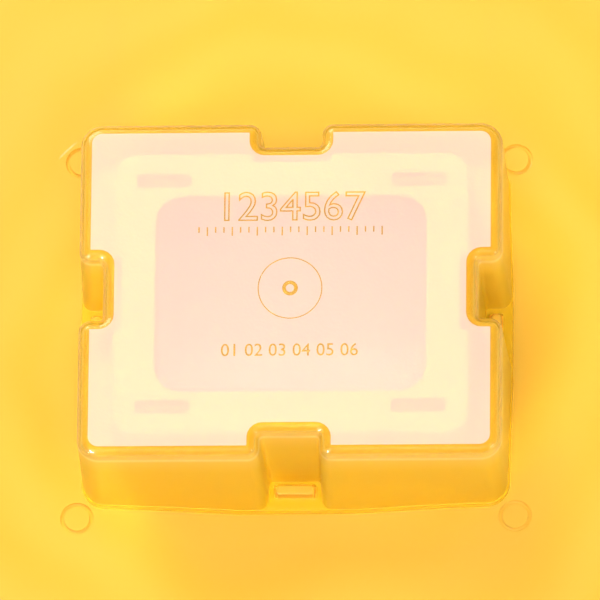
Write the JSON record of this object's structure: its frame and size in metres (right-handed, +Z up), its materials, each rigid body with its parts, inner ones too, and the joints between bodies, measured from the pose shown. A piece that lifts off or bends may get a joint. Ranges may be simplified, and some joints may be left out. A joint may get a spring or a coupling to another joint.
{
  "type": "queen cage",
  "caption": "Rectangular queen cage: a stepped tray with a hollow windowed tower, under a lift-off translucent cover with clip notches, closed below by a sliding floor.",
  "frame": {"origin": "middle of the tray's foot, on the surface that the cage stands on", "axes": "+Z up towards the cover, +Y towards the side that the floor slides out of, +X to the right"},
  "size_m": [0.222, 0.232, 0.0609],
  "materials": {
    "yellow_plastic": "translucent saturated yellow, smooth moulded",
    "milky_plastic": "natural milky polypropylene, satin top and glossy edges",
    "white_plastic": "white, satin",
    "nylon_screen": "fine woven white nylon",
    "steel_screen": "fine woven stainless wire",
    "steel_pin": "plain steel rivet",
    "candy": "white fondant candy"
  },
  "bodies": {
    "tray": {"base_tray": "yellow_plastic", "window_frame": "yellow_plastic", "window_screen": "nylon_screen"},
    "cover": {"cover": "milky_plastic"},
    "floor": {"floor_slide": "white_plastic", "floor_screen": "steel_screen", "candy_tube": "white_plastic", "candy_plug": "candy", "gate_pin": "steel_pin"},
    "gate": {"exit_gate": "white_plastic"}
  },
  "joints": [
    {"name": "cover_lift", "type": "slide", "parent": "tray", "child": "cover", "axis": [0, 0, 1], "range_m": [0, 0.06]},
    {"name": "floor_pull", "type": "slide", "parent": "tray", "child": "floor", "axis": [0, 1, 0], "range_m": [0, 0.06]},
    {"name": "gate_turn", "type": "hinge", "parent": "floor", "child": "gate", "pos_m": [0, -0.012, 0.00785], "axis": [0, 0, 1], "range_deg": [0, 90]}
  ]
}
